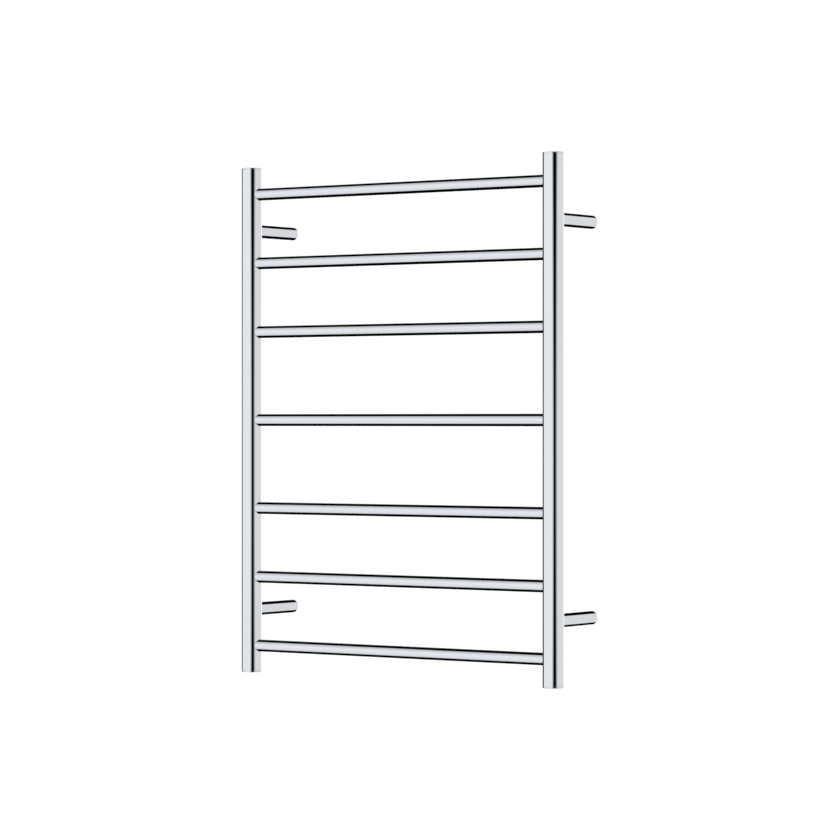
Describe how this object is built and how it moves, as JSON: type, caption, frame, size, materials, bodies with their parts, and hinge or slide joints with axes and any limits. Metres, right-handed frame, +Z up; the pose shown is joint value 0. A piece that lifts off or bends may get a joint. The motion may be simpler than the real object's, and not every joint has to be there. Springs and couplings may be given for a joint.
{
  "type": "electric towel warmer rack",
  "caption": "Wall-hung ladder of round polished bars between two round uprights, held off the wall by short tubes, with a heating cable inside.",
  "frame": {"origin": "centre of the four wall fixings, on the wall's surface", "axes": "+Y into the wall along the fixings, so the rail stands in -Y and its front faces -Y; +Z up along the uprights; +X to the right of a person facing the rail"},
  "size_m": [0.6, 0.125, 0.8],
  "materials": {
    "polished_steel": "mirror-polished stainless steel",
    "turned_steel": "turned, fine lathe marks",
    "black_steel": "black oxide, lightly oiled",
    "cable_silicone": "matt, extruded silicone rubber",
    "seal_rubber": "matt, moulded",
    "shrink_sleeve": "heat-shrunk, slightly glossy",
    "cutout_can": "drawn, satin",
    "line_insulation": "extruded, satin",
    "neutral_insulation": "extruded, satin",
    "earth_insulation": "extruded, satin, green with a yellow stripe",
    "woven_glass": "braided glass yarn",
    "brass": "turned",
    "tinned_terminal": "tin plated",
    "plated_steel": "zinc plated"
  },
  "bodies": {
    "root": {"left_upright": "polished_steel", "right_upright": "polished_steel", "bar_1": "polished_steel", "bar_1_left_weld": "polished_steel", "bar_1_right_weld": "polished_steel", "bar_2": "polished_steel", "bar_2_left_weld": "polished_steel", "bar_2_right_weld": "polished_steel", "bar_3": "polished_steel", "bar_3_left_weld": "polished_steel", "bar_3_right_weld": "polished_steel", "bar_4": "polished_steel", "bar_4_left_weld": "polished_steel", "bar_4_right_weld": "polished_steel", "bar_5": "polished_steel", "bar_5_left_weld": "polished_steel", "bar_5_right_weld": "polished_steel", "bar_6": "polished_steel", "bar_6_left_weld": "polished_steel", "bar_6_right_weld": "polished_steel", "bar_7": "polished_steel", "bar_7_left_weld": "polished_steel", "bar_7_right_weld": "polished_steel", "upper_left_cap": "polished_steel", "upper_left_standoff": "polished_steel", "upper_left_wall_spigot": "turned_steel", "upper_left_standoff_weld": "polished_steel", "upper_left_grub_screw": "black_steel", "upper_right_cap": "polished_steel", "upper_right_standoff": "polished_steel", "upper_right_wall_spigot": "turned_steel", "upper_right_standoff_weld": "polished_steel", "upper_right_grub_screw": "black_steel", "lower_left_cap": "polished_steel", "lower_left_standoff": "polished_steel", "lower_left_wall_spigot": "turned_steel", "lower_left_standoff_weld": "polished_steel", "lower_left_grub_screw": "black_steel", "lower_right_cap": "polished_steel", "lower_right_standoff": "polished_steel", "lower_right_wall_spigot": "turned_steel", "lower_right_standoff_weld": "polished_steel", "lower_right_grub_screw": "black_steel", "heater_cable": "cable_silicone", "cable_end_seal": "seal_rubber", "splice_sleeve": "shrink_sleeve", "thermal_cutout": "cutout_can", "line_tail": "line_insulation", "neutral_tail": "neutral_insulation", "earth_tail": "earth_insulation", "tail_grommet": "seal_rubber", "tail_sleeve": "woven_glass", "earth_stud": "brass", "earth_ring_terminal": "tinned_terminal", "earth_washer": "plated_steel", "earth_nut": "plated_steel"}
  },
  "joints": []
}
